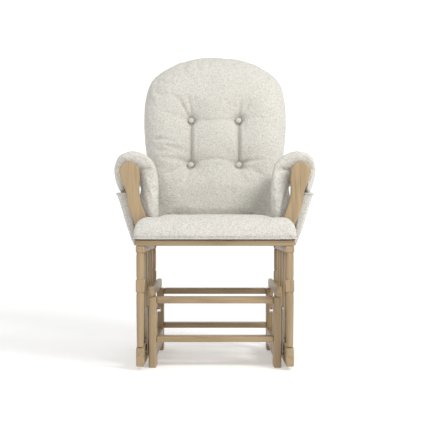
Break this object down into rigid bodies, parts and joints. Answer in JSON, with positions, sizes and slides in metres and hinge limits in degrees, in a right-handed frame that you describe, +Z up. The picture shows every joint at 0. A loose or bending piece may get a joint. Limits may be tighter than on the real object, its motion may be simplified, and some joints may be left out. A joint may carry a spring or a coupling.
{
  "type": "glider nursery chair",
  "caption": "Nursery glider chair: a button-tufted seat on a turned oak frame that swings level on steel links inside a fixed oak base.",
  "frame": {"origin": "on the floor under the middle of the chair", "axes": "+X to the sitter's left, -Y the way the sitter faces, +Z up"},
  "size_m": [0.6272, 0.7145, 1.0698],
  "materials": {
    "base_oak": "light natural oak under a satin lacquer",
    "seat_oak": "light natural oak under a satin lacquer",
    "arm_oak": "light natural oak with its grain upright, satin lacquer",
    "back_oak": "light natural oak under a satin lacquer",
    "link_steel": "bright zinc-plated strap",
    "chrome": "polished chrome bolt",
    "cushion_boucle": "warm off-white looped boucle",
    "arm_pad_boucle": "warm off-white looped boucle",
    "button_boucle": "button covered in the same boucle"
  },
  "bodies": {
    "base": {"base_front_post_left": "base_oak", "base_front_post_right": "base_oak", "base_rear_post_left": "base_oak", "base_rear_post_right": "base_oak", "base_bottom_rail_left": "base_oak", "base_bottom_rail_right": "base_oak", "base_top_rail_left": "base_oak", "base_top_rail_right": "base_oak", "base_cross_rail_front_low": "base_oak", "base_cross_rail_front_high": "base_oak", "base_cross_rail_rear_low": "base_oak", "base_cross_rail_rear_high": "base_oak", "upper_pin_front_left": "chrome", "upper_pin_front_right": "chrome", "upper_pin_rear_left": "chrome", "upper_pin_rear_right": "chrome"},
    "link_front_left": {"link_front_left": "link_steel"},
    "link_front_right": {"link_front_right": "link_steel"},
    "link_rear_left": {"link_rear_left": "link_steel"},
    "link_rear_right": {"link_rear_right": "link_steel"},
    "seat": {"lower_side_rail_left": "seat_oak", "lower_side_rail_right": "seat_oak", "front_leg_left": "seat_oak", "front_leg_right": "seat_oak", "rear_leg_left": "seat_oak", "rear_leg_right": "seat_oak", "seat_side_rail_left": "seat_oak", "seat_side_rail_right": "seat_oak", "seat_side_board_left": "seat_oak", "seat_side_board_right": "seat_oak", "seat_front_rail": "seat_oak", "seat_back_rail": "seat_oak", "seat_slat_1": "seat_oak", "seat_slat_2": "seat_oak", "seat_slat_3": "seat_oak", "arm_front_board_left": "arm_oak", "arm_front_board_right": "arm_oak", "arm_rail_left": "arm_oak", "arm_rail_right": "arm_oak", "back_stile_left": "back_oak", "back_stile_right": "back_oak", "back_crest_rail": "back_oak", "back_lower_rail": "back_oak", "back_slat_1": "back_oak", "back_slat_2": "back_oak", "back_slat_3": "back_oak", "lower_pin_front_left": "chrome", "lower_pin_front_right": "chrome", "lower_pin_rear_left": "chrome", "lower_pin_rear_right": "chrome", "seat_cushion": "cushion_boucle", "back_cushion": "cushion_boucle", "arm_pad_left": "arm_pad_boucle", "arm_pad_right": "arm_pad_boucle", "side_pocket_left": "arm_pad_boucle", "side_pocket_right": "arm_pad_boucle", "button_lower_left": "button_boucle", "button_lower_right": "button_boucle", "button_upper_left": "button_boucle", "button_upper_right": "button_boucle"}
  },
  "joints": [
    {"name": "glide", "type": "hinge", "parent": "base", "child": "link_front_left", "pos_m": [0.21, -0.2572, 0.176], "axis": [1, 0, 0], "range_deg": [-18, 18]},
    {"name": "swing_front_right", "type": "hinge", "parent": "base", "child": "link_front_right", "pos_m": [-0.21, -0.2572, 0.176], "axis": [1, 0, 0], "range_deg": [-18, 18]},
    {"name": "swing_rear_left", "type": "hinge", "parent": "base", "child": "link_rear_left", "pos_m": [0.21, 0.1228, 0.176], "axis": [1, 0, 0], "range_deg": [-18, 18]},
    {"name": "swing_rear_right", "type": "hinge", "parent": "base", "child": "link_rear_right", "pos_m": [-0.21, 0.1228, 0.176], "axis": [1, 0, 0], "range_deg": [-18, 18]},
    {"name": "seat_level", "type": "hinge", "parent": "link_front_left", "child": "seat", "pos_m": [0.21, -0.2572, 0.048], "axis": [1, 0, 0], "range_deg": [-18, 18]}
  ],
  "couplings": [
    {"joint": "swing_front_right", "follows": "glide", "ratio": 1},
    {"joint": "swing_rear_left", "follows": "glide", "ratio": 1},
    {"joint": "swing_rear_right", "follows": "glide", "ratio": 1},
    {"joint": "seat_level", "follows": "glide", "ratio": -1}
  ]
}
